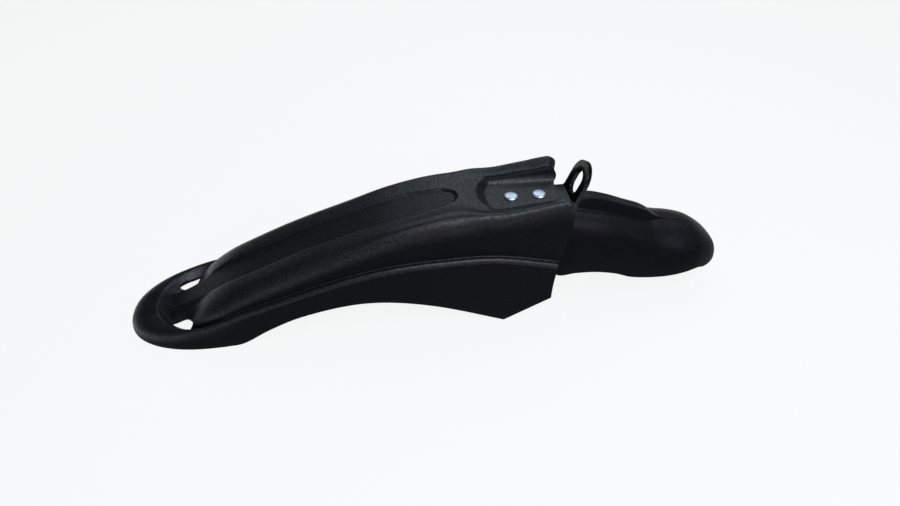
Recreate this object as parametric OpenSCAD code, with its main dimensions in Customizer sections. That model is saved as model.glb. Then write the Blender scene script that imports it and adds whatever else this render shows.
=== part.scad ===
// Front mudguard for a bicycle, clamped under the fork crown.
// Two moulded shells, a slotted steel bracket between them, and two rivets.
// X runs from the nose to the tail, Z is up, Y = 0 is the mirror plane.
// The part rests on Z = 0 with its nose rim and both wing tips.

/* [Shells] */
// wall thickness of both moulded shells
wall = 2.2; // [2:0.1:2.6]
// half width of the lip where the nose starts
lip_half = 49; // [48:0.5:51]
// half width of the lip along the sides
lip_side = 47.3; // [46.8:0.1:48]
// half width of the bottom edge of the front shell along its sides
rim_half = 52; // [51:0.5:54]
// half width of the bottom edge where the nose starts
nose_rim = 53.5; // [52:0.5:55]
// half width of the rear shell at its bottom edge
tail_half = 43; // [40:0.5:44]
// length of the rounded part of the tail seen from above
tail_round = 61; // [50:1:66]

/* [Nose] */
// where the rounded nose ends and the straight sides start
nose_end = -215; // [-220:1:-210]
// length of the rounded lip seen from above
lip_round = 53; // [50:1:56]
// length of the rounded nose edge seen from above
rim_round = 81; // [76:0.5:84]
// depth of the two hollows that hold the vents, below the lip
vent_depth = 9; // [7:0.5:10]

/* [Flute] */
// where the round rear end of the flute stops
flute_end = 27; // [20:1:32]
// half width of the flute at its round rear end
flute_end_half = 11; // [9:0.5:12]

/* [Pocket] */
// height of the flat pocket floor above the ground
floor_z = 110; // [109:0.5:111]
// where the front wall of the pocket leaves the crown, on the mirror plane
pocket_top = 43.5; // [42:0.5:46]
// where the front wall meets the floor, on the mirror plane
pocket_foot = 54; // [52:0.5:56]
// half width of the pocket floor
floor_half = 24; // [21:0.5:25]

/* [Bracket] */
// thickness of the steel strip
strip_t = 4; // [3:0.5:4]
// half width of the tab and of the strip
tab_half = 18; // [16:0.5:19]
// half width of the slot in the tab
slot_half = 8.5; // [7:0.5:9]
// how far the tab leans back from upright, in degrees
tab_lean = 22; // [15:1:28]
// length of the tab from the bend to its top, along the tab
tab_length = 35; // [32:1:38]

/* [Rivets] */
// where the front rivet stands
rivet_front_x = 77.5; // [74:0.5:80]
// where the rear rivet stands
rivet_rear_x = 104.5; // [102:0.5:107]
// radius of the rivet heads
head_r = 7.2; // [6:0.1:7.6]
// height of the rivet heads
head_h = 3; // [2.5:0.1:3.5]
// radius of the rivet shanks
shank_r = 3; // [2.5:0.1:3.2]

/* [Hidden] */
fit_gap = 0.1;
hole_r = shank_r + fit_gap;
washer_r = 7;
washer_t = 1.5;
set_r = 4.6;
set_h = 2;
through = 30;
strip_top = floor_z - wall;
tongue_top = strip_top - strip_t;
washer_top = tongue_top - wall;
front_end = 130;

// Height of the lip along the side, read at x.
LIP = [[-268, 17], [-250, 18.5], [-232, 21], [-201, 28.5], [-181, 36], [-161, 42.5],
       [-135, 51], [-116, 57], [-87, 65.5], [-57, 72], [-33, 75.5], [0, 77.5], [40, 78],
       [60, 76.2], [80, 72.4], [100, 67.5], [122, 62]];
// Height of the bottom edge in front of the wing tip.
EDGE = [[-200, 0], [-184, 1.5], [-158, 15.5], [-128, 28], [-81, 37.5], [-44, 36.5],
        [3, 25], [66, 0]];
// Height of the tongue, which runs on as the floor of the flute.
TONGUE = [[-268, 16], [-258, 16], [-250, 17.5], [-235, 24], [-217, 34], [-198, 44.5],
          [-178, 54], [-150, 65.6], [-120, 78], [-84, 90], [-45, 102.2], [-16, 109],
          [8, 113.6], [30, 116]];
// Height of the hump beside the tongue, flute and pocket.
HUMP = [[-245, 9.5], [-238, 12], [-230, 20], [-217, 34], [-198, 47], [-178, 56.6],
        [-150, 68.4], [-120, 81], [-84, 93], [-45, 105], [-16, 111.7], [8, 116],
        [30, 118], [46, 117.6], [66, 117], [93, 120], [104, 120.7], [116, 122], [131, 125.5]];
// How far the hump swells above that towards its shoulder.
SWELL = [[-200, 0.5], [-150, 2.2], [-120, 1.5], [-75, 1.2], [-40, 2.6], [0, 3.6], [30, 3.4],
         [60, 4.2], [95, 5.6], [110, 7], [131, 6]];
// How square the hump is, as the power of its superellipse.
POWER = [[-200, 2.6], [-120, 3], [-75, 3.6], [-30, 4.2], [20, 4.6], [131, 5]];
// Half width of the tongue, the flute and the pocket floor.
HALF = [[-268, 11], [-235, 12], [-215, 13.5], [-198, 15], [-178, 16.5], [-110, 17],
        [-45, 16.5], [-16, 15.5], [8, 12], [20, flute_end_half], [28, 12],
        [46, floor_half], [131, floor_half]];
// Width of the slope between that half width and the hump.
SLOPE = [[-240, 9], [-198, 2], [40, 2], [60, 2.2], [93, 1.8], [131, 2.4]];
// Crown, spine foot and bottom edge of the rear shell.
CROWN = [[62, tongue_top], [124, tongue_top], [134, tongue_top], [142, 104.4], [152, 106.8],
         [171, 102], [193, 93.2], [206, 88.2], [216, 83], [227, 74.5], [237, 70.8],
         [249, 68.2], [266, 63], [280, 54], [290, 43.5], [297, 33]];
FOOT = [[62, tongue_top], [112, tongue_top], [124, 101], [136, 98.5], [150, 95.5],
        [170, 90.5], [193, 82.5], [206, 78], [217, 74], [228, 71.8], [237, 70],
        [249, 67.9], [266, 62.8], [280, 53.9], [290, 43.4], [297, 32.9]];
TAIL_EDGE = [[96, 60], [118, 44], [136, 45], [156, 44.2], [176, 40], [195, 33],
             [224, 30], [250, 32], [265, 33], [272, 30.5], [285, 29], [297, 29]];

// Smooth line through a list of [x, value] pairs.
function seg(t, x) = max([for (k = [0:len(t) - 2]) if (x >= t[k][0] || k == 0) k]);
function tangent(t, k) = let (a = max(0, k - 1), b = min(len(t) - 1, k + 1))
    (t[b][1] - t[a][1]) / (t[b][0] - t[a][0]);
function hermite(u, h, a, ma, b, mb) =
    (2 * pow(u, 3) - 3 * pow(u, 2) + 1) * a + (pow(u, 3) - 2 * pow(u, 2) + u) * h * ma
    + (3 * pow(u, 2) - 2 * pow(u, 3)) * b + (pow(u, 3) - pow(u, 2)) * h * mb;
function curve(t, q) = let (x = min(max(q, t[0][0]), t[len(t) - 1][0]), k = seg(t, x),
    h = t[k + 1][0] - t[k][0])
    hermite((x - t[k][0]) / h, h, t[k][1], tangent(t, k), t[k + 1][1], tangent(t, k + 1));
function ramp(a, b, x) = let (u = min(max((x - a) / (b - a), 0), 1)) u * u * (3 - 2 * u);
function mix(a, b, u) = a + (b - a) * u;
function unit(v) = v / norm(v);

// Every shell is a grid of points: rows across it, columns along it.
// A row lists half of the section, from the mirror plane to the bottom edge.
SPREAD = [9, 19, 28, 36, 44, 52, 61, 73, 90];
BAND = 5;
LIP_K = 16;
EDGE_K = LIP_K + BAND;
NOSE_TURN = [12, 22, 31, 40, 48, 56, 64, 72, 81, 90];
// Stations behind the nose: [0, x] is a straight row, [1, t] follows the round end of the
// flute and [2, t] follows the curved front wall of the pocket.
FRONT_X = concat([for (x = [-207:8:9]) [0, x]], [for (t = [-0.5, 0, 0.35, 0.7, 1, 1.6]) [1, t]],
    [[0, 33]], [for (t = [-0.8, -0.25, 0, 0.25, 0.5, 0.75, 1, 1.3]) [2, t]],
    [for (x = [69, 76, 84, 92, 100, 108, 116, 123, front_end]) [0, x]]);
// Where each column ends at the rear edge of the front shell.
FRONT_STOP = [123, 123.2, 123.4, 124.5, 127.3, 125.5, 126, 127.5, 128.3, 128.8, 128.5, 127.3, 124.7, 121.4,
              117.5, 116.7, 115.8, 115.6, 114.8, 113, 112, 111.5];
// The columns are drawn out towards their ends behind this station.
stretch_x = 60;
// The wing tip, and how steeply the bottom edge rises behind it.
tip_x = 66;
tip_rise = 0.52;
// Slope of the walls round the vents.
swept = 1.15;
// Roundness of the nose and of its edge seen from above, as powers of a superellipse.
nose_bulge = 2.3;
rim_power = 2.2;
// Width of the flat ledge inside the lip, and the roll from the lip down to the flank.
ledge = 1.9;
roll_share = 0.8;
roll_deep = 6;
roll_part = 0.4;
rim_even = -170;
roll_even = -150;
wall_sweep = 12;
foot_sweep = 9;
flute_slope = 3;
// The nose section turns into the flute section between these two.
nose_mid = -190;
flute_mid = 40;

function stretched(x, k) = x < stretch_x ? x
    : stretch_x + (x - stretch_x) * (FRONT_STOP[k] - stretch_x) / (front_end - stretch_x);
function lip_y(x) = mix(lip_half, lip_side, ramp(nose_end, rim_even, x))
    * sqrt(max(0, 1 - pow(max(0, nose_end - x) / lip_round, 2)));
function edge_z(x) = x > tip_x ? (x - tip_x) * tip_rise : curve(EDGE, x);

// Floor of the tongue and flute, with the flute's round rear end.
function flute_stop(y) = flute_end - flute_end_half
    + flute_end_half * sqrt(max(0, 1 - pow(min(y, flute_end_half) / flute_end_half, 2)));
function flute_z(x, y, top) = x < nose_mid ? curve(TONGUE, x)
    : mix(curve(TONGUE, x), top, ramp(flute_stop(y) - flute_slope, flute_stop(y), x));
// Pocket floor and its curved front wall.
function wall_top(y) = pocket_top + wall_sweep * pow(min(y / floor_half, 1), 3);
function wall_foot(y) = pocket_foot + foot_sweep * pow(min(y / floor_half, 1), 3);
function pocket_share(x, y) = min(max((x - wall_top(y)) / (wall_foot(y) - wall_top(y)), 0), 1);
function centre_z(x, y, top) = x < flute_mid ? flute_z(x, y, top)
    : mix(top, floor_z, pocket_share(x, y));
// Where a station meets the surface at a distance y from the mirror plane.
function station_x(s, y) = s[0] == 0 ? s[1]
    : s[0] == 1 ? flute_stop(y) - flute_slope * (1 - s[1])
    : mix(wall_top(y), wall_foot(y), s[1]);

// The hollow round each vent is bounded by walls that slope from the lip and the tongue.
function lip_wall(x, y, lip_z) = lip_z - 0.5
    - swept * lip_half * (1 - norm([max(0, nose_end - x) / lip_round, y / lip_half]));
function in_nose(x, p, lip_z) = x > nose_mid ? p
    : [p[0], max(p[1], lip_wall(x, p[0], lip_z),
                 curve(TONGUE, x) - swept * max(0, p[0] - curve(HALF, x)))];

// Half section inside the lip: [y, z] from the mirror plane to the lip.
function inside(x) = let (
    w = lip_y(x), lip_z = curve(LIP, stretched(x, LIP_K)),
    y1 = min(curve(HALF, x), 0.45 * w), y2 = min(curve(HALF, x) + curve(SLOPE, x), 0.56 * w),
    y4 = w - min(mix(8, ledge, ramp(-236, -192, x)), 0.25 * w),
    z4 = lip_z - mix(vent_depth, 0, ramp(-240, -192, x)),
    z2 = x < nose_end ? max(curve(HUMP, x), z4) : curve(HUMP, x),
    z1 = centre_z(x, y1, z2), swell = curve(SWELL, x), n = curve(POWER, x))
    [for (p = concat(
        [for (k = [0:3]) [y1 * k / 3, centre_z(x, y1 * k / 3, z2)]],
        [for (k = [1:2]) [mix(y1, y2, k / 2), mix(z1, z2, k / 2)]],
        [for (a = SPREAD) let (q = pow(pow(sin(a), n) + pow(cos(a), n), 1 / n),
            u = sin(a) / q, v = cos(a) / q)
            [mix(y2, y4, u), mix(z4, z2, v) + swell * sin(180 * u * u)]],
        [for (k = [1:2]) [mix(y4, w, k / 2), mix(z4, lip_z, k / 2)]]))
        in_nose(x, p, lip_z)];
// From the lip down to the bottom edge: a quarter superellipse round the nose (side = 0), and
// along the sides (side = 1) a roll and then a straight flank.
function round_band(a) = [pow(sin(a), 2 / nose_bulge), pow(max(0, cos(a)), 2 / nose_bulge)];
function rolled_band(u, deep) = let (t = 90 * min(u / roll_part, 1),
    rest = max(0, u - roll_part) / (1 - roll_part))
    [roll_share * sin(t) + (1 - roll_share) * rest,
     1 - deep * (1 - cos(t)) - (1 - deep) * rest];
function band(lip, edge, side) = [for (k = [1:BAND]) let (
    f = mix(round_band(90 * k / BAND), rolled_band(k / BAND, roll_deep / (lip[2] - edge[2])), side))
    [mix(lip[0], edge[0], f[0]), mix(lip[1], edge[1], f[0]), mix(edge[2], lip[2], f[1])]];
function nose_lip(a) = let (x = nose_end - lip_round * cos(a))
    [x, lip_half * sin(a), curve(LIP, x)];
function nose_edge(a) = [nose_end - rim_round * pow(max(0, cos(a)), 2 / rim_power),
    nose_rim * pow(sin(a), 2 / rim_power), 0];
function nose_row(a) = let (lip = nose_lip(a), s = inside(lip[0]))
    concat([for (p = s) [lip[0], p[0], p[1]]], band(lip, nose_edge(a), 0));
function side_row(s) = let (x = station_x(s, lip_half), rim = inside(x), m = len(rim),
    lip = [x, lip_y(x), curve(LIP, stretched(x, LIP_K))],
    rim_y = mix(nose_rim, rim_half, ramp(nose_end, rim_even, x)),
    low = band(lip, [x, rim_y, edge_z(stretched(x, EDGE_K))], ramp(nose_end, roll_even, x)))
    [for (k = [0:m + BAND - 1]) k >= m ? [stretched(x, k), low[k - m][1], low[k - m][2]]
        : let (p = s[0] == 0 ? rim[k] : inside(station_x(s, rim[k][0]))[k])
            [stretched(station_x(s, s[0] == 0 ? 0 : rim[k][0]), k), p[0], p[1]]];
FRONT_CAP = concat([for (k = [0:LIP_K]) nose_lip(0)], band(nose_lip(0), nose_edge(0), 0));
FRONT_ROWS = concat([for (a = NOSE_TURN) nose_row(a)], [for (s = FRONT_X) side_row(s)]);

// Rear shell: a raised spine on a rounded body that closes in a dome.
spine_half = 5.5;
body_power = 2.1;
tail_start = 235;
REAR_WIDTH = [[62, 22], [90, 23], [112, 40], [122, tail_half], [225, tail_half]];
REAR_EDGE = concat([[62, tongue_top - 1], [92, tongue_top - 2]], TAIL_EDGE);
// Half width of the foot of the spine, which runs out on the dome.
SPINE_FOOT = [[62, 12], [190, 12], [206, 11], [232, 3], [297, 1]];
REAR_SPREAD = [9, 19, 29, 40, 51, 62, 73, 82, 90];
TAIL_TURN = [4, 13, 22, 31, 40, 49, 58, 68, 78];
REAR_X = concat([62, 70, 78, 85, 91, 96, 101, 106, 111, 116, 120, 124, 129],
    [for (x = [135:7:200]) x], [204, 208, 212, 216, 220, 225, 230]);
function rear_y(x) = curve(REAR_WIDTH, x) * sqrt(max(0, 1 - pow(max(0, x - tail_start) / tail_round, 2)));
function rear_row(x) = let (w = rear_y(x), top = curve(CROWN, x), foot = min(top, curve(FOOT, x)),
    low = min(curve(REAR_EDGE, x), foot - 1), y2 = min(curve(SPINE_FOOT, x), w * 0.4),
    y1 = min(spine_half, y2 / 2))
    [for (p = concat([[0, top], [y1 / 2, top], [y1, top]],
        [for (k = [1:3]) [mix(y1, y2, k / 3), mix(top, foot, ramp(0, 1, k / 3))]],
        [for (a = REAR_SPREAD) [mix(y2, w, pow(sin(a), 2 / body_power)),
                                mix(low, foot, pow(max(0, cos(a)), 2 / body_power))]]))
        [x, p[0], p[1]]];
REAR_TIP = [tail_start + tail_round, 0, curve(REAR_EDGE, tail_start + tail_round)];
REAR_ROWS = concat([for (x = REAR_X) rear_row(x)],
    [for (a = TAIL_TURN) rear_row(tail_start + tail_round * sin(a))],
    [[for (k = [0:len(REAR_SPREAD) + 5]) REAR_TIP]]);

// Mirror a half row to a full one: columns run from -m to m.
function whole(row) = let (m = len(row) - 1)
    [for (j = [-m:m]) let (p = row[abs(j)]) [p[0], j < 0 ? -p[1] : p[1], p[2]]];
function at(rows, i, j) = let (r = rows[max(0, min(i, len(rows) - 1))])
    r[max(0, min(j, len(r) - 1))];
function cell_normal(rows, i, j) = cross(at(rows, i + 1, j) - at(rows, i - 1, j),
                                         at(rows, i, j + 1) - at(rows, i, j - 1));
function moved(p, n, flat_x, flat_z) =
    p - wall * unit([flat_x ? 0 : n[0], n[1], flat_z ? 0 : n[2]]);
function inner_rows(rows, first, last) = let (n = len(rows), m = (len(rows[0]) - 1) / 2)
    [for (i = [0:n - 1]) [for (j = [0:2 * m]) let (p = rows[i][j], v = cell_normal(rows, i, j))
        first && i == 0 ? p - wall * unit([v[0], 0, j == 2 * m ? 0 : v[2]])
        : last && i == n - 1 ? p - wall * [1, 0, 0]
        : moved(p, v, i == 0 || i == n - 1, j == 0 || j == 2 * m)]];

// One closed shell from a list of rows. The first `cap` row may repeat points at the nose
// and the last at the tail: number() gives repeated points one number.
function flat(rows) = [for (r = rows) for (p = r) p];
function number(i, j, m, first, last, keep, n) = i == 0 && first ? max(0, abs(j) - keep)
    : i == n - 1 && last ? (first ? m - keep + 1 : 0) + (n - 1 - (first ? 1 : 0)) * (2 * m + 1)
    : (first ? m - keep + 1 : 0) + (i - (first ? 1 : 0)) * (2 * m + 1) + j + m;
function sound(t) = t[0] != t[1] && t[1] != t[2] && t[0] != t[2];
function quad(a, b, c, d) = [for (t = [[a, b, c], [a, c, d]]) if (sound(t)) t];

module shell(rows, first, last, keep) {
    n = len(rows);
    m = (len(rows[0]) - 1) / 2;
    inner = inner_rows(rows, first, last);
    head = first ? [for (k = [0:m - keep]) rows[0][m + keep + k]] : rows[0];
    head_in = first ? [for (k = [0:m - keep]) inner[0][m + keep + k]] : inner[0];
    end = last ? [rows[n - 1][m]] : rows[n - 1];
    end_in = last ? [inner[n - 1][m]] : inner[n - 1];
    outer_points = concat(head, flat([for (i = [1:n - 2]) rows[i]]), end);
    inner_points = concat(head_in, flat([for (i = [1:n - 2]) inner[i]]), end_in);
    s = len(outer_points);
    function o(i, j) = number(i, j, m, first, last, keep, n);
    function q(i, j) = s + o(i, j);
    top = [for (i = [0:n - 2]) for (j = [-m:m - 1])
        each quad(o(i, j), o(i, j + 1), o(i + 1, j + 1), o(i + 1, j))];
    under = [for (i = [0:n - 2]) for (j = [-m:m - 1])
        each quad(q(i + 1, j), q(i + 1, j + 1), q(i, j + 1), q(i, j))];
    right = [for (i = [0:n - 2]) each quad(o(i, -m), o(i + 1, -m), q(i + 1, -m), q(i, -m))];
    left = [for (i = [0:n - 2]) each quad(o(i + 1, m), o(i, m), q(i, m), q(i + 1, m))];
    front = first ? [] : [for (j = [-m:m - 1]) each quad(o(0, j + 1), o(0, j), q(0, j), q(0, j + 1))];
    back = last ? [] : [for (j = [-m:m - 1])
        each quad(o(n - 1, j), o(n - 1, j + 1), q(n - 1, j + 1), q(n - 1, j))];
    polyhedron(concat(outer_points, inner_points), concat(top, under, right, left, front, back),
               convexity = 10);
}

// Vents: a closed smooth outline through a few corners, cut straight down.
VENT = [[-253.5, 26], [-248, 22.5], [-241, 20.5], [-236.5, 23.5], [-230.5, 34.5], [-233.5, 38],
        [-242, 35.5], [-250, 30.5]];
function loop_point(t, k, u) = let (c = len(t), p = t[k], r = t[(k + 1) % c],
    mp = (r - t[(k + c - 1) % c]) / 2, mr = (t[(k + 2) % c] - p) / 2)
    [for (d = [0, 1]) hermite(u, 1, p[d], mp[d], r[d], mr[d])];
VENT_LINE = [for (k = [0:len(VENT) - 1]) for (u = [0, 0.25, 0.5, 0.75]) loop_point(VENT, k, u)];

module vent(side) {
    mirror([0, side < 0 ? 1 : 0, 0]) linear_extrude(through) polygon(VENT_LINE);
}

module rivet_holes(r) {
    for (x = [rivet_front_x, rivet_rear_x])
        translate([x, 0, tongue_top - through]) cylinder(r = r, h = 2 * through, $fn = 48);
}

module front_guard() {
    color([0.13, 0.13, 0.15]) difference() {
        shell([for (r = concat([FRONT_CAP], FRONT_ROWS)) whole(r)], true, false, LIP_K);
        vent(1);
        vent(-1);
        rivet_holes(hole_r);
    }
}

module rear_guard() {
    color([0.12, 0.12, 0.13]) difference() {
        shell([for (r = REAR_ROWS) whole(r)], false, true, 0);
        rivet_holes(hole_r);
    }
}

// Steel strip: flat base, one bend, and a tab with a long slot.
bend_in = 3;
strip_start = 66;
bend_x = 131.5;
corner = 5;
bend_out = bend_in + strip_t;
bend_turn = 90 - tab_lean;
slot_start = 1.5;

module base_outline() {
    difference() {
        union() {
            translate([strip_start + corner, -tab_half])
                square([bend_x - strip_start - corner, 2 * tab_half]);
            translate([strip_start, corner - tab_half]) square([2 * corner, 2 * (tab_half - corner)]);
            for (y = [corner - tab_half, tab_half - corner])
                translate([strip_start + corner, y]) circle(corner, $fn = 32);
        }
        for (x = [rivet_front_x, rivet_rear_x]) translate([x, 0]) circle(hole_r, $fn = 48);
    }
}

module tab_outline() {
    difference() {
        union() {
            translate([0, -tab_half]) square([tab_length - tab_half, 2 * tab_half]);
            translate([tab_length - tab_half, 0]) circle(tab_half, $fn = 64);
        }
        union() {
            translate([slot_start + slot_half, -slot_half])
                square([tab_length - tab_half - slot_start - slot_half, 2 * slot_half]);
            for (s = [slot_start + slot_half, tab_length - tab_half])
                translate([s, 0]) circle(slot_half, $fn = 48);
        }
    }
}

module fork_bracket() {
    color([0.06, 0.06, 0.05]) union() {
        translate([0, 0, tongue_top]) linear_extrude(strip_t) base_outline();
        translate([bend_x, 0, tongue_top + bend_out]) {
            rotate([90, 0, 0]) rotate([0, 0, -90]) rotate_extrude(angle = bend_turn, $fn = 64)
                translate([bend_in, -tab_half]) square([strip_t, 2 * tab_half]);
            rotate([0, -bend_turn, 0]) translate([0, 0, -bend_out]) linear_extrude(strip_t) tab_outline();
        }
    }
}

// Rivets with domed heads, set over a washer below the rear shell.
HEAD = [[1, 0], [1, 0.3], [0.97, 0.5], [0.88, 0.72], [0.72, 0.88], [0.5, 0.97], [0, 1]];
module rivet(x) {
    color([0.82, 0.84, 0.88]) translate([x, 0, 0]) rotate_extrude($fn = 48)
        polygon(concat([[0, washer_top - washer_t - set_h], [set_r * 0.7, washer_top - washer_t - set_h],
                        [set_r, washer_top - washer_t - set_h / 2], [set_r, washer_top - washer_t],
                        [shank_r, washer_top - washer_t], [shank_r, floor_z]],
                       [for (p = HEAD) [head_r * p[0], floor_z + head_h * p[1]]]));
}

module rivet_washer(x) {
    color([0.7, 0.72, 0.75]) translate([x, 0, washer_top - washer_t]) difference() {
        cylinder(r = washer_r, h = washer_t, $fn = 48);
        translate([0, 0, -washer_t]) cylinder(r = hole_r, h = 3 * washer_t, $fn = 48);
    }
}

module front_rivet() { rivet(rivet_front_x); }
module rear_rivet() { rivet(rivet_rear_x); }
module front_rivet_washer() { rivet_washer(rivet_front_x); }
module rear_rivet_washer() { rivet_washer(rivet_rear_x); }

front_guard();
rear_guard();
fork_bracket();
front_rivet();
rear_rivet();
front_rivet_washer();
rear_rivet_washer();
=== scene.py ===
"""Bicycle mudguard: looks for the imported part. Lengths are in millimetres until a mesh is made."""
import bmesh
import bpy
import numpy as np
from mathutils import Matrix


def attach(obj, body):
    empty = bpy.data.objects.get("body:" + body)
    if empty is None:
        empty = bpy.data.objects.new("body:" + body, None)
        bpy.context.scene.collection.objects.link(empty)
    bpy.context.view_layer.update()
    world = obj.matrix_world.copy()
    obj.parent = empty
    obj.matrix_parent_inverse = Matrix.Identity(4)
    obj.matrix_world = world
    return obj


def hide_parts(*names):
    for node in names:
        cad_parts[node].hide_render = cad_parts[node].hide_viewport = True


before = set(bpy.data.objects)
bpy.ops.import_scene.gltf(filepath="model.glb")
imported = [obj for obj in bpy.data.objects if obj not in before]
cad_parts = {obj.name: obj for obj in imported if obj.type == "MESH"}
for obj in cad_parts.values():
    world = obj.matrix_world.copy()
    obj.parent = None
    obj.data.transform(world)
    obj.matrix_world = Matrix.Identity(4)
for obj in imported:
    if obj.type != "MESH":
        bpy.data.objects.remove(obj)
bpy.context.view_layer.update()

MM = 0.001

# ---------------------------------------------------------------- driving sizes, in millimetres
WALL = 2.2
LIP_HALF, LIP_SIDE_HALF, RIM_HALF, NOSE_RIM_HALF = 49.0, 47.3, 52.0, 53.5
NOSE_END, LIP_ROUND, RIM_ROUND, VENT_DEPTH = -215.0, 53.0, 81.0, 9.0
FLUTE_END, FLUTE_END_HALF, FLUTE_SLOPE = 27.0, 11.0, 3.0
FLOOR_Z, FLOOR_HALF = 110.0, 24.0
POCKET_TOP, POCKET_FOOT, WALL_SWEEP, FOOT_SWEEP = 43.5, 54.0, 12.0, 9.0
STRIP_T = 4.0
TONGUE_TOP = FLOOR_Z - WALL - STRIP_T
RIVET_X = (77.5, 104.5)
RIVET_HOLE_R = 3.1
WASHER_T, SET_H = 1.5, 2.0
TAIL_HALF, TAIL_START, TAIL_ROUND = 43.0, 235.0, 61.0
TIP_X, TIP_RISE = 66.0, 0.52
STRETCH_X, FRONT_END = 60.0, 130.0
BAND_POWER, BODY_POWER, RIM_POWER = 2.3, 2.1, 2.2
VENT_SLOPE = 1.15
LEDGE_WIDE, ROLL_WIDE, ROLL_DEEP = 1.9, 0.8, 6.0

# Curves along the guard: x, then the value there.
LIP = np.array([[-268, 17], [-250, 18.5], [-232, 21], [-201, 28.5], [-181, 36], [-161, 42.5],
                [-135, 51], [-116, 57], [-87, 65.5], [-57, 72], [-33, 75.5], [0, 77.5], [40, 78],
                [60, 76.2], [80, 72.4], [100, 67.5], [122, 62]])
EDGE = np.array([[-200, 0], [-184, 1.5], [-158, 15.5], [-128, 28], [-81, 37.5], [-44, 36.5],
                 [3, 25], [66, 0]])
TONGUE = np.array([[-268, 16], [-258, 16], [-250, 17.5], [-235, 24], [-217, 34], [-198, 44.5],
                   [-178, 54], [-150, 65.6], [-120, 78], [-84, 90], [-45, 102.2], [-16, 109],
                   [8, 113.6], [30, 116]])
HUMP = np.array([[-245, 9.5], [-238, 12], [-230, 20], [-217, 34], [-198, 47], [-178, 56.6],
                 [-150, 68.4], [-120, 81], [-84, 93], [-45, 105], [-16, 111.7], [8, 116],
                 [30, 118], [46, 117.6], [66, 117], [93, 120], [104, 120.7], [116, 122.4],
                 [122, 123.4], [127, 121.6], [131, 117.5]])
SWELL = np.array([[-200, 0.5], [-150, 2.2], [-120, 1.5], [-75, 1.2], [-40, 2.6], [0, 3.6],
                  [30, 3.4], [60, 4.2], [95, 5.6], [110, 7], [131, 6]])
POWER = np.array([[-200, 2.6], [-120, 3], [-75, 3.6], [-30, 4.2], [20, 4.6], [131, 5]])
HALF = np.array([[-268, 11], [-235, 12], [-215, 13.5], [-198, 15], [-178, 16.5], [-110, 17],
                 [-45, 16.5], [-16, 15.5], [8, 12], [20, FLUTE_END_HALF], [28, 12],
                 [46, FLOOR_HALF], [131, FLOOR_HALF]])
SLOPE = np.array([[-240, 9], [-198, 2], [40, 2], [60, 2.2], [93, 1.8], [131, 2.4]])
CROWN = np.array([[62, TONGUE_TOP], [124, TONGUE_TOP], [134, TONGUE_TOP], [142, 104.4],
                  [152, 106.8], [171, 102], [193, 93.2], [206, 88.2], [216, 83], [227, 74.5],
                  [237, 70.8], [249, 68.2], [266, 63], [280, 54], [290, 43.5], [297, 33]])
FOOT = np.array([[62, TONGUE_TOP], [112, TONGUE_TOP], [124, 101], [136, 98.5], [150, 95.5],
                 [170, 90.5], [193, 82.5], [206, 78], [217, 74], [228, 71.8], [237, 70],
                 [249, 67.9], [266, 62.8], [280, 53.9], [290, 43.4], [297, 32.9]])
TAIL_EDGE = np.array([[62, TONGUE_TOP - 1], [92, TONGUE_TOP - 2], [96, 60], [118, 44],
                      [136, 45], [156, 44.2], [176, 40], [195, 33], [224, 30], [250, 32],
                      [265, 33], [272, 30.5], [285, 29], [297, 29]])
TAIL_WIDTH = np.array([[62, 22], [90, 23], [112, 40], [122, TAIL_HALF], [225, TAIL_HALF]])
SPINE_FOOT = np.array([[62, 12], [190, 12], [206, 11], [232, 3], [297, 1]])
SPINE_HALF = 5.5
VENT = np.array([[-253.5, 26], [-248, 22.5], [-241, 20.5], [-236.5, 23.5], [-230.5, 34.5],
                 [-233.5, 38], [-242, 35.5], [-250, 30.5]])
# Where the rear edge of the front guard lies, from the mirror plane round to the bottom edge.
STOP = np.array([[0, 123], [0.9, 123.5], [1, 124.5], [1.3, 127], [1.6, 127.5], [1.85, 126.5],
                 [2, 125.5], [2.1, 126], [2.25, 128], [2.4, 128.8], [2.5, 128.5], [2.6, 127],
                 [2.7, 124], [2.85, 120.5], [3, 117.5], [4, 115.8], [4.2, 115.6], [4.4, 114.8],
                 [4.6, 113], [4.8, 112], [5, 111.5]])


# ---------------------------------------------------------------- small maths
def curve(table, x):
    """Smooth line through the table: a cubic on each span, with the slope of its neighbours' chord
    at each knot."""
    t, v = table[:, 0], table[:, 1]
    before = np.maximum(np.arange(len(t)) - 1, 0)
    after = np.minimum(np.arange(len(t)) + 1, len(t) - 1)
    slope = (v[after] - v[before]) / (t[after] - t[before])
    x = np.clip(x, t[0], t[-1])
    k = np.clip(np.searchsorted(t, x, side="right") - 1, 0, len(t) - 2)
    h = t[k + 1] - t[k]
    u = (x - t[k]) / h
    return ((2 * u**3 - 3 * u**2 + 1) * v[k] + (u**3 - 2 * u**2 + u) * h * slope[k]
            + (3 * u**2 - 2 * u**3) * v[k + 1] + (u**3 - u**2) * h * slope[k + 1])


def ramp(a, b, x):
    """0 below a, 1 above b, and 3u^2 - 2u^3 between them."""
    u = np.clip((x - a) / (b - a), 0, 1)
    return u * u * (3 - 2 * u)


def mix(a, b, u):
    return a + (b - a) * u


def steps(*spans):
    """Joins even divisions: each span is (start, end, count), and the last one keeps its end."""
    parts = [np.linspace(a, b, n, endpoint=False) for a, b, n in spans]
    return np.concatenate(parts + [[spans[-1][1]]])


# ---------------------------------------------------------------- front guard
# v runs over half a section: 0-1 the floor, 1-2 its slope, 2-3 the hump, 3-4 the wall up to the
# lip and 4-5 the band from the lip down to the bottom edge.
V_HALF = steps((0, 0.88, 7), (0.88, 1, 2), (1, 2, 5), (2, 2.1, 3), (2.1, 3, 30), (3, 4, 5),
               (4, 4.4, 12), (4.4, 5, 10))
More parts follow.
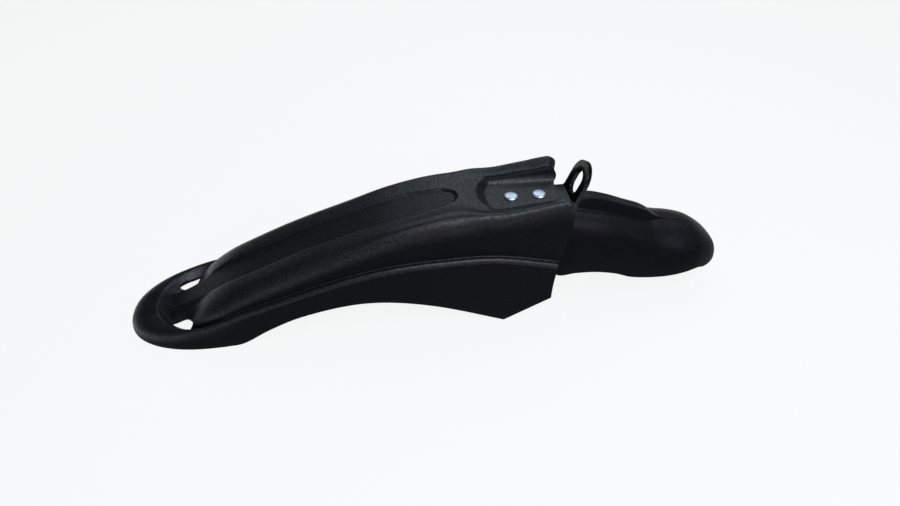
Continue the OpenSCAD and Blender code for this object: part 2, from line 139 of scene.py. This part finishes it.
# Where the nose's section turns into the side's: the ledge and vents, and the band.
VENT_END, SECTION_START, SECTION_END = -240.0, -236.0, -192.0
SIDE_START, FLANK_START = -170.0, -150.0


def lip_y(x):
    """Half width at the lip: even along the sides, a half ellipse round the nose."""
    ahead = np.maximum(0, NOSE_END - x) / LIP_ROUND
    half = mix(LIP_HALF, LIP_SIDE_HALF, ramp(NOSE_END, SIDE_START, x))
    return half * np.sqrt(np.clip(1 - ahead ** 2, 0, 1))


def stretched(x, v):
    """Behind STRETCH_X each column is drawn out or in, so that it ends on the rear edge."""
    stop = np.interp(v, STOP[:, 0], STOP[:, 1])
    return np.where(x < STRETCH_X, x,
                    STRETCH_X + (x - STRETCH_X) * (stop - STRETCH_X) / (FRONT_END - STRETCH_X))


def round_end(y):
    """Distance by which the flute's half-circle end lags its middle at y."""
    return FLUTE_END_HALF * (1 - np.sqrt(1 - np.minimum(y / FLUTE_END_HALF, 1) ** 2))


def bowed(s, y):
    """Stations bow with the round end of the flute and with the curved front wall of the pocket."""
    flute = np.interp(s, [-12, FLUTE_END - 5, FLUTE_END + 1, 33], [0, 1, 1, 0])
    pocket = np.interp(s, [33, POCKET_TOP, POCKET_FOOT, 76], [0, WALL_SWEEP, FOOT_SWEEP, 0])
    return s - flute * round_end(y) + pocket * np.minimum(y / FLOOR_HALF, 1) ** 3


def floor_height(x, y, hump):
    """The tongue and flute floor, the ramp at the flute's end, then the wall down to the pocket."""
    flute_stop = FLUTE_END - round_end(y)
    rise = np.where(x < -100, 0, ramp(flute_stop - FLUTE_SLOPE, flute_stop, x))
    flute = mix(curve(TONGUE, x), hump, rise)
    sweep = np.minimum(y / FLOOR_HALF, 1) ** 3
    top, foot = POCKET_TOP + WALL_SWEEP * sweep, POCKET_FOOT + FOOT_SWEEP * sweep
    share = ramp(top, foot, x) * 0.45 + np.clip((x - top) / (foot - top), 0, 1) * 0.55
    return np.where(x < 34, flute, mix(hump, FLOOR_Z, share))


def front_section(x, v):
    """Half section inside the lip as (y, z): flat floor, short slope, a superellipse hump with a
    sine swell, and a short wall up to the lip. Round the vents the walls slope at 45 degrees."""
    w, lip_z = lip_y(x), curve(LIP, stretched(x, 4.0))
    half, slope = curve(HALF, x), curve(SLOPE, x)
    y1, y2 = np.minimum(half, 0.45 * w), np.minimum(half + slope, 0.56 * w)
    y4 = w - np.minimum(mix(8, LEDGE_WIDE, ramp(SECTION_START, SECTION_END, x)), 0.25 * w)
    z4 = lip_z - mix(VENT_DEPTH, 0, ramp(VENT_END, SECTION_END, x))
    z2 = np.where(x < NOSE_END, np.maximum(curve(HUMP, x), z4), curve(HUMP, x))
    f = np.clip(v, 0, 1)
    y_floor = y1 * f
    z_floor = floor_height(x, y_floor, z2)
    z1 = floor_height(x, y1, z2)
    g = np.clip(v - 1, 0, 1)
    a, power = np.clip(v - 2, 0, 1) * np.pi / 2, curve(POWER, x)
    u, c = np.sin(a), np.clip(np.cos(a), 0, 1)
    far = (u**power + c**power) ** (1 / power)
    u, c = u / far, c / far
    h = np.clip(v - 3, 0, 1)
    y = np.select([v <= 1, v <= 2, v <= 3], [y_floor, mix(y1, y2, g), mix(y2, y4, u)], mix(y4, w, h))
    z = np.select([v <= 1, v <= 2, v <= 3],
                  [z_floor, mix(z1, z2, g), mix(z4, z2, c) + curve(SWELL, x) * np.sin(np.pi * u * u)],
                  mix(z4, lip_z, h))
    reach = np.sqrt((np.maximum(0, NOSE_END - x) / LIP_ROUND) ** 2 + (y / LIP_HALF) ** 2)
    from_lip = lip_z - 0.5 - VENT_SLOPE * LIP_HALF * (1 - reach)
    from_tongue = curve(TONGUE, x) - VENT_SLOPE * np.maximum(0, y - half)
    return y, np.where(x > -190, z, np.maximum(z, np.maximum(from_lip, from_tongue)))


def band(lip, edge, v, side):
    """From the lip down to the bottom edge: a quarter superellipse round the nose, and along the
    sides (side = 1) a quarter ellipse ROLL_DEEP high and then a straight flank."""
    a = np.clip(v - 4, 0, 1) * np.pi / 2
    out, down = np.sin(a) ** (2 / BAND_POWER), np.clip(np.cos(a), 0, 1) ** (2 / BAND_POWER)
    t, rest = np.clip((v - 4) / 0.4, 0, 1) * np.pi / 2, np.clip((v - 4.4) / 0.6, 0, 1)
    deep = ROLL_DEEP / (lip[2] - edge[2])
    out = mix(out, ROLL_WIDE * np.sin(t) + (1 - ROLL_WIDE) * rest, side)
    down = mix(down, 1 - deep * (1 - np.cos(t)) - (1 - deep) * rest, side)
    return mix(lip[0], edge[0], out), mix(lip[1], edge[1], out), mix(edge[2], lip[2], down)


def nose_rows(v):
    """Rows round the nose at turns a: the lip is an ellipse, and the rim a wider one on the floor."""
    a = np.radians(steps((0, 90, 64)))[:-1, None]
    v = v[None, :]
    lip = (NOSE_END - LIP_ROUND * np.cos(a), LIP_HALF * np.sin(a))
    lip = (*lip, curve(LIP, lip[0]))
    along, across = np.cos(a) ** (2 / RIM_POWER), np.sin(a) ** (2 / RIM_POWER)
    edge = (NOSE_END - RIM_ROUND * along, NOSE_RIM_HALF * across, 0 * a)
    y, z = front_section(lip[0] + 0 * v, v)
    bx, by, bz = band(lip, edge, v, 0)
    inner = v <= 4
    return np.stack([np.where(inner, lip[0] + 0 * v, bx), np.where(inner, y, by),
                     np.where(inner, z, bz)], axis=-1)


def side_rows(v):
    """Rows behind the nose: bowed stations inside the lip, plain ones on the band."""
    s = steps((NOSE_END, -190, 28), (-190, 10, 90), (10, 34, 32), (34, 66, 44),
              (66, FRONT_END, 44))[:, None]
    v = v[None, :]
    y, _ = front_section(s + 0 * v, v)
    x = bowed(s + 0 * v, y)
    x_lip = bowed(s, LIP_HALF)
    y, z = front_section(x, v)
    lip_z = curve(LIP, stretched(x_lip, 4.0))
    edge_x = stretched(x_lip, 5.0)
    edge_z = np.where(edge_x > TIP_X, (edge_x - TIP_X) * TIP_RISE, curve(EDGE, edge_x))
    rim = mix(NOSE_RIM_HALF, RIM_HALF, ramp(NOSE_END, SIDE_START, x_lip))
    _, by, bz = band((x_lip, lip_y(x_lip), lip_z), (x_lip, rim, edge_z), v,
                     ramp(NOSE_END, FLANK_START, x_lip))
    inner = v <= 4
    x = np.where(inner, x, x_lip + 0 * v)
    return np.stack([stretched(x, v + 0 * x), np.where(inner, y, by), np.where(inner, z, bz)], axis=-1)


def eased(grid, passes):
    """Softens creases: each inner point moves to a quarter, half, quarter mean, first along the
    guard and then across it."""
    g = grid.copy()
    for _ in range(passes):
        g[1:-1] = 0.25 * g[:-2] + 0.5 * g[1:-1] + 0.25 * g[2:]
        g[:, 1:-1] = 0.25 * g[:, :-2] + 0.5 * g[:, 1:-1] + 0.25 * g[:, 2:]
    return g


def whole(half):
    """Adds the mirrored half, so that columns run from edge to edge."""
    return np.concatenate([(half * [1, -1, 1])[:, :0:-1], half], axis=1)


def front_skin():
    """Both halves, eased hard inside the hump's shoulder and a little near the lip."""
    half = whole(np.concatenate([nose_rows(V_HALF), side_rows(V_HALF)]))
    v = np.abs(np.concatenate([-V_HALF[:0:-1], V_HALF]))[None, :, None]
    soft, crisp = eased(half, 2), eased(half, 1)
    return mix(soft, crisp, ramp(2.4, 2.9, v))


# ---------------------------------------------------------------- rear guard
def rear_skin():
    """A flat-topped spine on a superellipse body. Rows follow x, and close on a half-ellipse dome
    at the tail."""
    turn = np.radians(steps((3, 90, 40)))
    x = np.concatenate([steps((62, 90, 10), (90, 130, 28), (130, TAIL_START, 60)),
                        TAIL_START + TAIL_ROUND * np.sin(turn)])[:, None]
    v = steps((0, 1, 5), (1, 2, 9), (2, 3, 44))[None, :]
    behind = np.maximum(0, x - TAIL_START) / TAIL_ROUND
    w = curve(TAIL_WIDTH, x) * np.sqrt(np.clip(1 - behind ** 2, 0, 1))
    top = curve(CROWN, x)
    foot = np.minimum(top, curve(FOOT, x))
    low = np.minimum(curve(TAIL_EDGE, x), foot - 1)
    y2 = np.minimum(curve(SPINE_FOOT, x), 0.4 * w)
    y1 = np.minimum(SPINE_HALF, y2 / 2)
    a = np.clip(v - 2, 0, 1) * np.pi / 2
    out, down = np.sin(a) ** (2 / BODY_POWER), np.clip(np.cos(a), 0, 1) ** (2 / BODY_POWER)
    y = np.select([v <= 1, v <= 2], [y1 * v, mix(y1, y2, np.clip(v - 1, 0, 1))], mix(y2, w, out))
    z = np.select([v <= 1, v <= 2], [top + 0 * v, mix(top, foot, ramp(0, 1, v - 1))],
                  mix(low, foot, down))
    return whole(np.stack([x + 0 * v, y, z], axis=-1))


# ---------------------------------------------------------------- meshes
def mesh_object(name, points, faces, smooth=True):
    mesh = bpy.data.meshes.new(name)
    mesh.from_pydata((points * MM).tolist(), [], faces.tolist())
    mesh.update()
    obj = bpy.data.objects.new(name, mesh)
    bpy.context.scene.collection.objects.link(obj)
    mesh.polygons.foreach_set("use_smooth", np.full(len(mesh.polygons), smooth))
    return obj


def grid_faces(rows, columns, wrap=False):
    """Quads of a grid in row-major order; wrap joins the last column to the first."""
    i, j = np.meshgrid(np.arange(rows - 1), np.arange(columns if wrap else columns - 1), indexing="ij")
    k = (j + 1) % columns
    near, far = i * columns, (i + 1) * columns
    quads = np.stack([near + j, far + j, far + k, near + k], axis=-1)
    return quads.reshape(-1, 4)


def welded(obj, distance=0.02):
    """Merges points that meet, drops the faces that vanish, and points the rest outwards."""
    bm = bmesh.new()
    bm.from_mesh(obj.data)
    bmesh.ops.remove_doubles(bm, verts=bm.verts, dist=distance * MM)
    bmesh.ops.dissolve_degenerate(bm, dist=0.001 * MM, edges=bm.edges)
    bmesh.ops.recalc_face_normals(bm, faces=bm.faces)
    bm.to_mesh(obj.data)
    bm.free()
    return obj


def sheet_object(name, grid):
    """A grid of points as a skin whose faces look up and out."""
    rows, columns = grid.shape[:2]
    obj = mesh_object(name, grid.reshape(-1, 3), grid_faces(rows, columns))
    bm = bmesh.new()
    bm.from_mesh(obj.data)
    bmesh.ops.remove_doubles(bm, verts=bm.verts, dist=0.02 * MM)
    bmesh.ops.recalc_face_normals(bm, faces=bm.faces)
    bm.normal_update()
    if sum(f.normal.z * f.calc_area() for f in bm.faces) < 0:
        bmesh.ops.reverse_faces(bm, faces=bm.faces)
    bm.to_mesh(obj.data)
    bm.free()
    return obj


def prism(name, outline, low, high):
    """A closed outline drawn in plan, carried from low to high."""
    n = len(outline)
    points = np.concatenate([np.column_stack([outline, np.full(n, z)]) for z in (low, high)])
    obj = mesh_object(name, points, grid_faces(2, n, wrap=True), smooth=False)
    bm = bmesh.new()
    bm.from_mesh(obj.data)
    bmesh.ops.holes_fill(bm, edges=bm.edges, sides=0)
    bmesh.ops.recalc_face_normals(bm, faces=bm.faces)
    bm.to_mesh(obj.data)
    bm.free()
    return obj


def vent_outline(side):
    """Closed smooth line through the vent's corners: a cubic on each span, 8 points per span."""
    n = len(VENT)
    k, u = np.divmod(np.arange(8 * n), 8)
    u = u[:, None] / 8
    p, r = VENT[k], VENT[(k + 1) % n]
    mp, mr = (r - VENT[k - 1]) / 2, (VENT[(k + 2) % n] - p) / 2
    line = ((2 * u**3 - 3 * u**2 + 1) * p + (u**3 - 2 * u**2 + u) * mp
            + (3 * u**2 - 2 * u**3) * r + (u**3 - u**2) * mr)
    return line * [1, side]


def disc_outline(x, radius, count=48):
    a = np.linspace(0, 2 * np.pi, count, endpoint=False)
    return np.column_stack([x + radius * np.cos(a), radius * np.sin(a)])


def edge_round(obj, width, segments, degrees):
    """Rounds the edges that are sharper than the given angle."""
    bevel = obj.modifiers.new("edge", "BEVEL")
    bevel.width, bevel.segments = width * MM, segments
    bevel.limit_method, bevel.angle_limit = "ANGLE", np.radians(degrees)
    bevel.use_clamp_overlap = True


def finished(obj, cutters, edge):
    """Thickens the skin inwards, cuts the holes and rounds the sharp edges, all in one plain mesh."""
    solid = obj.modifiers.new("wall", "SOLIDIFY")
    solid.thickness, solid.offset, solid.use_even_offset = WALL * MM, -1, False
    for c in cutters:
        cut = obj.modifiers.new("cut", "BOOLEAN")
        cut.operation, cut.solver, cut.object = "DIFFERENCE", "MANIFOLD", c
    bpy.context.view_layer.update()
    graph = bpy.context.evaluated_depsgraph_get()
    whole_mesh = bpy.data.meshes.new_from_object(obj.evaluated_get(graph))
    obj.modifiers.clear()
    old = obj.data
    obj.data = whole_mesh
    bpy.data.meshes.remove(old)
    for c in cutters:
        bpy.data.objects.remove(c)
    whole_mesh.name = obj.name
    whole_mesh.polygons.foreach_set("use_smooth", np.ones(len(whole_mesh.polygons), dtype=bool))
    edge_round(obj, edge, 2, 62)
    return obj


def copy_of(node, name, edge):
    """A merged copy of a CAD node whose sharp edges are rounded."""
    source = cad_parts[node]
    obj = bpy.data.objects.new(name, source.data.copy())
    bpy.context.scene.collection.objects.link(obj)
    welded(obj, 0.002)
    bm = bmesh.new()
    bm.from_mesh(obj.data)
    bmesh.ops.dissolve_limit(bm, angle_limit=np.radians(1), verts=bm.verts, edges=bm.edges)
    bm.to_mesh(obj.data)
    bm.free()
    edge_round(obj, edge, 4, 50)
    obj.data.polygons.foreach_set("use_smooth", np.ones(len(obj.data.polygons), dtype=bool))
    return obj


def rivet(name, x, seed):
    """A set rivet: its profile turned about its own axis, with the head dented by a few cosine waves."""
    base = TONGUE_TOP - WALL - WASHER_T
    profile = np.array([[0, base - SET_H], [3.2, base - SET_H], [4.3, base - 1.4], [4.6, base - 0.8],
                        [4.5, base], [3, base], [3, FLOOR_Z], [6.7, FLOOR_Z], [6.9, FLOOR_Z + 0.15],
                        [6.9, FLOOR_Z + 0.8], [6.75, FLOOR_Z + 1.3], [6.4, FLOOR_Z + 1.8],
                        [5.8, FLOOR_Z + 2.2], [5, FLOOR_Z + 2.5], [4.1, FLOOR_Z + 2.7],
                        [3.1, FLOOR_Z + 2.85], [2, FLOOR_Z + 2.94], [1, FLOOR_Z + 2.98],
                        [0, FLOOR_Z + 3]])
    a = np.linspace(0, 2 * np.pi, 72, endpoint=False)[None, :]
    r, z = profile[:, :1], profile[:, 1:]
    head = ramp(FLOOR_Z, FLOOR_Z + 1.2, z)
    px, py = r * np.cos(a), r * np.sin(a)
    broad = np.cos(0.62 * px + seed) * np.cos(0.55 * py - 1.7 * seed)
    dent = (broad + 0.5 * np.cos(1.3 * px - 1.1 * py + 2 * seed)) / 1.5
    lopsided = 1 + 0.02 * head * np.cos(2 * a + seed) - 0.02 * head
    z = z - head * 0.28 * (0.5 + 0.5 * dent)
    points = np.stack([x + px * lopsided, py * lopsided, z + 0 * a], axis=-1)
    obj = mesh_object(name, points.reshape(-1, 3), grid_faces(*points.shape[:2], wrap=True))
    return welded(obj)


# ---------------------------------------------------------------- materials
# The satin coat grows between these two values of the normal's z (the rear guard's between the second pair).
# This paints a sheen on the faces that look up and shade on the upright ones. The coat thins to a share of
# itself on the flute's floor and on the pocket's side walls, as painted shade in those recesses.
UPRIGHT, FLAT = 0.05, 0.45
TAIL_UPRIGHT, TAIL_FLAT = 0.55, 0.95
FLUTE_SHADED_SATIN, WALL_SHADED_SATIN = 0.6, 0.12
COAT_ROUGHNESS = 0.42


def group_input(group, name, kind, value):
    socket = group.interface.new_socket(name=name, in_out="INPUT", socket_type=kind)
    socket.default_value = value


def noise(tree, vector, scale, detail, roughness=0.55):
    n = tree.nodes.new("ShaderNodeTexNoise")
    n.inputs["Scale"].default_value, n.inputs["Detail"].default_value = scale, detail
    n.inputs["Roughness"].default_value = roughness
    tree.links.new(vector, n.inputs["Vector"])
    return n.outputs["Fac"]


def math(tree, operation, a, b, c=None):
    m = tree.nodes.new("ShaderNodeMath")
    m.operation = operation
    for socket, value in zip(m.inputs, (a, b, c)):
        if isinstance(value, (int, float)):
            socket.default_value = value
        elif value is not None:
            tree.links.new(value, socket)
    return m.outputs[0]


def blend(tree, factor, a, b):
    m = tree.nodes.new("ShaderNodeMix")
    m.data_type = "RGBA"
    tree.links.new(factor, m.inputs["Factor"])
    for socket, value in ((m.inputs[6], a), (m.inputs[7], b)):
        if isinstance(value, tuple):
            socket.default_value = value
        else:
            tree.links.new(value, socket)
    return m.outputs[2]


def flute_painted_shade(tree, vector, weight):
    """Painted shade on the flute's floor: 1 outside the flute and FLUTE_SHADED_SATIN on its floor, as a
    factor on the coat. It uses the distance from the mirror plane, or from the centre of the flute's round
    end, set against a half width that narrows towards that end. The node sees metres."""
    split = tree.nodes.new("ShaderNodeSeparateXYZ")
    tree.links.new(vector, split.inputs[0])
    x, y = split.outputs["X"], split.outputs["Y"]
    ahead = math(tree, "MAXIMUM", math(tree, "SUBTRACT", x, (FLUTE_END - FLUTE_END_HALF) * MM), 0.0)
    squares = math(tree, "ADD", math(tree, "MULTIPLY", ahead, ahead), math(tree, "MULTIPLY", y, y))
    reach = math(tree, "SQRT", squares, 0.0)
    half = tree.nodes.new("ShaderNodeMapRange")
    tree.links.new(x, half.inputs["Value"])
    for name, value in zip(("From Min", "From Max", "To Min", "To Max"), (-0.045, 0.016, 0.0165, 0.011)):
        half.inputs[name].default_value = value
    edge = tree.nodes.new("ShaderNodeMapRange")
    edge.interpolation_type = "SMOOTHSTEP"
    tree.links.new(math(tree, "SUBTRACT", reach, half.outputs["Result"]), edge.inputs["Value"])
    edge.inputs["From Min"].default_value, edge.inputs["From Max"].default_value = -0.0015, 0.002
    lost = math(tree, "MULTIPLY", math(tree, "SUBTRACT", 1.0, edge.outputs["Result"]), weight)
    return math(tree, "SUBTRACT", 1.0, math(tree, "MULTIPLY", lost, 1 - FLUTE_SHADED_SATIN))


def eased_step(tree, value, low, high):
    step = tree.nodes.new("ShaderNodeMapRange")
    step.interpolation_type = "SMOOTHSTEP"
    tree.links.new(value, step.inputs["Value"])
    step.inputs["From Min"].default_value, step.inputs["From Max"].default_value = low * MM, high * MM
    return step.outputs["Result"]


def pocket_wall_painted_shade(tree, vector, weight):
    """Painted shade on the pocket's side walls: 1 outside the two side walls of the pocket and
    WALL_SHADED_SATIN on them, as a factor on the coat. It is a band in the distance from the mirror plane,
    behind the pocket's front corners."""
    split = tree.nodes.new("ShaderNodeSeparateXYZ")
    tree.links.new(vector, split.inputs[0])
    side = math(tree, "ABSOLUTE", split.outputs["Y"], 0.0)
    band = math(tree, "MULTIPLY", eased_step(tree, side, 23.0, 24.5),
                math(tree, "SUBTRACT", 1.0, eased_step(tree, side, 27.0, 29.5)))
    behind = eased_step(tree, split.outputs["X"], 50, 60)
    lost = math(tree, "MULTIPLY", math(tree, "MULTIPLY", band, behind), weight)
    return math(tree, "SUBTRACT", 1.0, math(tree, "MULTIPLY", lost, 1 - WALL_SHADED_SATIN))


def grain_and_painted_sheen():
    """Grain of a moulded surface: a height for the bump, specks and clouds in the colour, and a satin coat on
    the faces that look up, which thins out where the surface turns upright. Keeping the coat to the faces
    that look up paints a sheen on the tops and shade on the flanks. Its thinning on the flute's floor and on
    the pocket's side walls is painted shade."""
    g = bpy.data.node_groups.new("grain_and_painted_sheen", "ShaderNodeTree")
    group_input(g, "Vector", "NodeSocketVector", (0, 0, 0))
    group_input(g, "Facing", "NodeSocketVector", (0, 0, 1))
    group_input(g, "Grain Scale", "NodeSocketFloat", 900.0)
    group_input(g, "Base", "NodeSocketColor", (0.015, 0.015, 0.02, 1))
    group_input(g, "Worn", "NodeSocketColor", (0.03, 0.03, 0.035, 1))
    group_input(g, "Gloss", "NodeSocketFloat", 0.45)
    group_input(g, "Satin", "NodeSocketFloat", 0.0)
    group_input(g, "Flute", "NodeSocketFloat", 0.0)
    group_input(g, "Upright", "NodeSocketFloat", UPRIGHT)
    group_input(g, "Flat", "NodeSocketFloat", FLAT)
    for name, kind in (("Color", "NodeSocketColor"), ("Roughness", "NodeSocketFloat"),
                       ("Height", "NodeSocketFloat"), ("Coat", "NodeSocketFloat")):
        g.interface.new_socket(name=name, in_out="OUTPUT", socket_type=kind)
    start, end = g.nodes.new("NodeGroupInput"), g.nodes.new("NodeGroupOutput")
    vector = start.outputs["Vector"]
    grain = noise(g, vector, 900, 2, 0.6)
    g.links.new(start.outputs["Grain Scale"], grain.node.inputs["Scale"])
    pebble = noise(g, vector, 380, 2)
    cloud = noise(g, vector, 22, 4)
    scuff = noise(g, vector, 7, 5, 0.65)
    height = math(g, "ADD", math(g, "MULTIPLY", grain, 0.6), math(g, "MULTIPLY", pebble, 0.4))
    speck = math(g, "SMOOTH_MIN", math(g, "MULTIPLY", math(g, "SUBTRACT", grain, 0.42), 3.0), 1.0, 0.2)
    patch = math(g, "ADD", math(g, "MULTIPLY", cloud, 0.8), 0.2)
    mask = math(g, "MULTIPLY", math(g, "MAXIMUM", speck, 0.0), patch)
    g.links.new(blend(g, mask, start.outputs["Base"], start.outputs["Worn"]), end.inputs["Color"])
    rough = math(g, "ADD", start.outputs["Gloss"], math(g, "MULTIPLY", math(g, "SUBTRACT", scuff, 0.5), 0.16))
    rough = math(g, "ADD", rough, math(g, "MULTIPLY", math(g, "SUBTRACT", grain, 0.5), 0.12))
    g.links.new(rough, end.inputs["Roughness"])
    g.links.new(height, end.inputs["Height"])
    # The coat is kept to faces that look up: painted sheen on the tops and painted shade on the flanks.
    split = g.nodes.new("ShaderNodeSeparateXYZ")
    g.links.new(start.outputs["Facing"], split.inputs[0])
    up = g.nodes.new("ShaderNodeMapRange")
    up.interpolation_type = "SMOOTHSTEP"
    g.links.new(split.outputs["Z"], up.inputs["Value"])
    g.links.new(start.outputs["Upright"], up.inputs["From Min"])
    g.links.new(start.outputs["Flat"], up.inputs["From Max"])
    fleck = math(g, "ADD", math(g, "MULTIPLY", math(g, "ADD", grain, pebble), 1.6), -0.75)
    fleck = math(g, "MINIMUM", math(g, "MAXIMUM", fleck, 0.25), 1.0)
    coat = math(g, "MULTIPLY", math(g, "MULTIPLY", up.outputs["Result"], start.outputs["Satin"]), fleck)
    coat = math(g, "MULTIPLY", coat, flute_painted_shade(g, vector, start.outputs["Flute"]))
    coat = math(g, "MULTIPLY", coat, pocket_wall_painted_shade(g, vector, start.outputs["Flute"]))
    g.links.new(coat, end.inputs["Coat"])
    return g


def finish_material(name, group, base, worn, gloss, grain_scale, grain_depth, specular, metallic=0.0,
                    satin=0.0, flute=0.0, upright=UPRIGHT, flat=FLAT):
    """A material on the shared finish; grain_depth is in millimetres."""
    m = bpy.data.materials.new(name)
    m.use_nodes = True
    tree = m.node_tree
    shader = tree.nodes["Principled BSDF"]
    place = tree.nodes.new("ShaderNodeTexCoord")
    finish = tree.nodes.new("ShaderNodeGroup")
    finish.node_tree = group
    tree.links.new(place.outputs["Object"], finish.inputs["Vector"])
    tree.links.new(place.outputs["Normal"], finish.inputs["Facing"])
    finish.inputs["Satin"].default_value = satin
    # The flute input sets how much painted shade thins the coat on the flute's floor and on the pocket's side
    # walls.
    finish.inputs["Flute"].default_value = flute
    finish.inputs["Upright"].default_value, finish.inputs["Flat"].default_value = upright, flat
    finish.inputs["Grain Scale"].default_value = grain_scale
    finish.inputs["Base"].default_value = (*base, 1)
    finish.inputs["Worn"].default_value = (*worn, 1)
    finish.inputs["Gloss"].default_value = gloss
    bump = tree.nodes.new("ShaderNodeBump")
    bump.inputs["Strength"].default_value = 1.0
    bump.inputs["Distance"].default_value = grain_depth * MM
    tree.links.new(finish.outputs["Height"], bump.inputs["Height"])
    tree.links.new(bump.outputs["Normal"], shader.inputs["Normal"])
    tree.links.new(finish.outputs["Color"], shader.inputs["Base Color"])
    tree.links.new(finish.outputs["Roughness"], shader.inputs["Roughness"])
    shader.inputs["Specular IOR Level"].default_value = specular
    shader.inputs["Metallic"].default_value = metallic
    if satin:
        tree.links.new(finish.outputs["Coat"], shader.inputs["Coat Weight"])
        shader.inputs["Coat Roughness"].default_value = COAT_ROUGHNESS
    return m


def dressed(obj, material, node):
    obj.data.materials.clear()
    obj.data.materials.append(material)
    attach(obj, "root")
    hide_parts(node)


grain = grain_and_painted_sheen()
# black_plastic's coat paints a sheen on the faces that look up, and shade on the flanks, the flute's floor
# and the pocket's side walls.
black_plastic = finish_material("black_plastic", grain, (0.004, 0.0042, 0.0052), (0.011, 0.0118, 0.0152),
                                0.5, 700, 0.25, 0.04, satin=1.0, flute=1.0)
# tail_plastic keeps its coat to the flattest faces, which paints a sheen on the rear guard's top and shade on
# its flanks.
tail_plastic = finish_material("tail_plastic", grain, (0.004, 0.0042, 0.005), (0.011, 0.0115, 0.014),
                               0.5, 900, 0.25, 0.04, satin=0.55, upright=TAIL_UPRIGHT, flat=TAIL_FLAT)
black_enamel = finish_material("black_enamel", grain, (0.004, 0.004, 0.0035), (0.008, 0.008, 0.007),
                               0.22, 260, 0.03, 0.22)
rivet_metal = finish_material("rivet_metal", grain, (0.62, 0.66, 0.74), (0.8, 0.83, 0.9),
                              0.42, 420, 0.16, 0.5, metallic=1.0)
zinc = finish_material("zinc", grain, (0.5, 0.51, 0.53), (0.65, 0.65, 0.66),
                       0.35, 500, 0.04, 0.5, metallic=1.0)

# ---------------------------------------------------------------- pieces
def rivet_holes(low, high):
    return [prism("rivet_hole", disc_outline(x, RIVET_HOLE_R), low, high) for x in RIVET_X]


EDGE_ROUND = 0.45
vents = [prism("vent_left", vent_outline(1), -5, 30), prism("vent_right", vent_outline(-1), -5, 30)]
front = finished(sheet_object("front_guard_skin", front_skin()), vents + rivet_holes(104.5, 114), EDGE_ROUND)
rear = finished(sheet_object("rear_guard_skin", rear_skin()), rivet_holes(98, 107), EDGE_ROUND)
dressed(front, black_plastic, "front_guard")
dressed(rear, tail_plastic, "rear_guard")
dressed(copy_of("fork_bracket", "fork_bracket_strip", 0.9), black_enamel, "fork_bracket")
dressed(rivet("front_rivet_turned", RIVET_X[0], 0.6), rivet_metal, "front_rivet")
dressed(rivet("rear_rivet_turned", RIVET_X[1], 2.3), rivet_metal, "rear_rivet")
for node in ("front_rivet_washer", "rear_rivet_washer"):
    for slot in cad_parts[node].material_slots:
        slot.material = zinc

# ---------------------------------------------------------------- floor, light and camera
FLOOR_WHITE = 0.8
SHADOW_SHARE = 0.12
FLOOR_REACH = 6000.0


def studio_floor():
    """A flat sheet whose paper colour is lit, and which the camera and reflections see nearly white."""
    m = bpy.data.materials.new("studio_paper")
    m.use_nodes = True
    tree = m.node_tree
    tree.nodes.clear()
    path = tree.nodes.new("ShaderNodeLightPath")
    paper = tree.nodes.new("ShaderNodeBsdfDiffuse")
    paper.inputs["Color"].default_value = (FLOOR_WHITE, FLOOR_WHITE, FLOOR_WHITE, 1)
    white = tree.nodes.new("ShaderNodeEmission")
    white.inputs["Color"].default_value = (1, 1, 1, 1)
    white.inputs["Strength"].default_value = 1.0
    direct = math(tree, "MAXIMUM", path.outputs["Is Camera Ray"], path.outputs["Is Glossy Ray"])
    seen = math(tree, "MAXIMUM", direct, path.outputs["Is Transmission Ray"])
    share = math(tree, "MULTIPLY", seen, 1 - SHADOW_SHARE)
    both = tree.nodes.new("ShaderNodeMixShader")
    out = tree.nodes.new("ShaderNodeOutputMaterial")
    tree.links.new(share, both.inputs[0])
    tree.links.new(paper.outputs[0], both.inputs[1])
    tree.links.new(white.outputs[0], both.inputs[2])
    tree.links.new(both.outputs[0], out.inputs["Surface"])
    corners = FLOOR_REACH * np.array([[-1, -1, 0], [1, -1, 0], [1, 1, 0], [-1, 1, 0]])
    obj = mesh_object("studio_floor", corners, np.array([[0, 1, 2, 3]]), smooth=False)
    obj.data.materials.append(m)


def soft_lamp(name, place, target, size, power, tint):
    """A rectangular lamp at a place, turned to face its target."""
    lamp = bpy.data.lights.new(name, "AREA")
    lamp.shape, lamp.size, lamp.size_y = "RECTANGLE", size[0] * MM, size[1] * MM
    lamp.energy, lamp.color = power, tint
    obj = bpy.data.objects.new(name, lamp)
    bpy.context.scene.collection.objects.link(obj)
    place, target = np.array(place, float), np.array(target, float)
    back = (place - target) / np.linalg.norm(place - target)
    side = np.cross([0, 0, 1], back)
    side /= np.linalg.norm(side)
    turn = np.column_stack([side, np.cross(back, side), back])
    obj.matrix_world = Matrix.Translation((place * MM).tolist()) @ Matrix(turn.tolist()).to_4x4()


studio_floor()
LAMP_TINT, LAMP_TARGET = (0.76, 0.87, 1.0), (40, 0, 80)
soft_lamp("key", (330, -760, 980), LAMP_TARGET, (1100, 900), 13.0, LAMP_TINT)
soft_lamp("back", (250, 600, 950), LAMP_TARGET, (1250, 900), 5.0, LAMP_TINT)

world = bpy.data.worlds.new("studio")
bpy.context.scene.world = world
world.use_nodes = True
sky = world.node_tree.nodes["Background"]
sky.inputs["Color"].default_value = (0.86, 0.92, 1.0, 1)
sky.inputs["Strength"].default_value = 0.08

CAMERA_AT = (-51.5, -531.7, 489.8)
CAMERA_RIGHT, CAMERA_UP = (0.99122, -0.13226, 0.0), (0.08413, 0.63050, 0.77162)
camera_data = bpy.data.cameras.new("camera")
camera_data.sensor_width, camera_data.lens = 36.0, 28.0
camera = bpy.data.objects.new("camera", camera_data)
bpy.context.scene.collection.objects.link(camera)
turn = np.column_stack([CAMERA_RIGHT, CAMERA_UP, np.cross(CAMERA_RIGHT, CAMERA_UP)])
camera.matrix_world = Matrix.Translation([c * MM for c in CAMERA_AT]) @ Matrix(turn.tolist()).to_4x4()
bpy.context.scene.camera = camera
bpy.context.scene.view_settings.view_transform = "Standard"
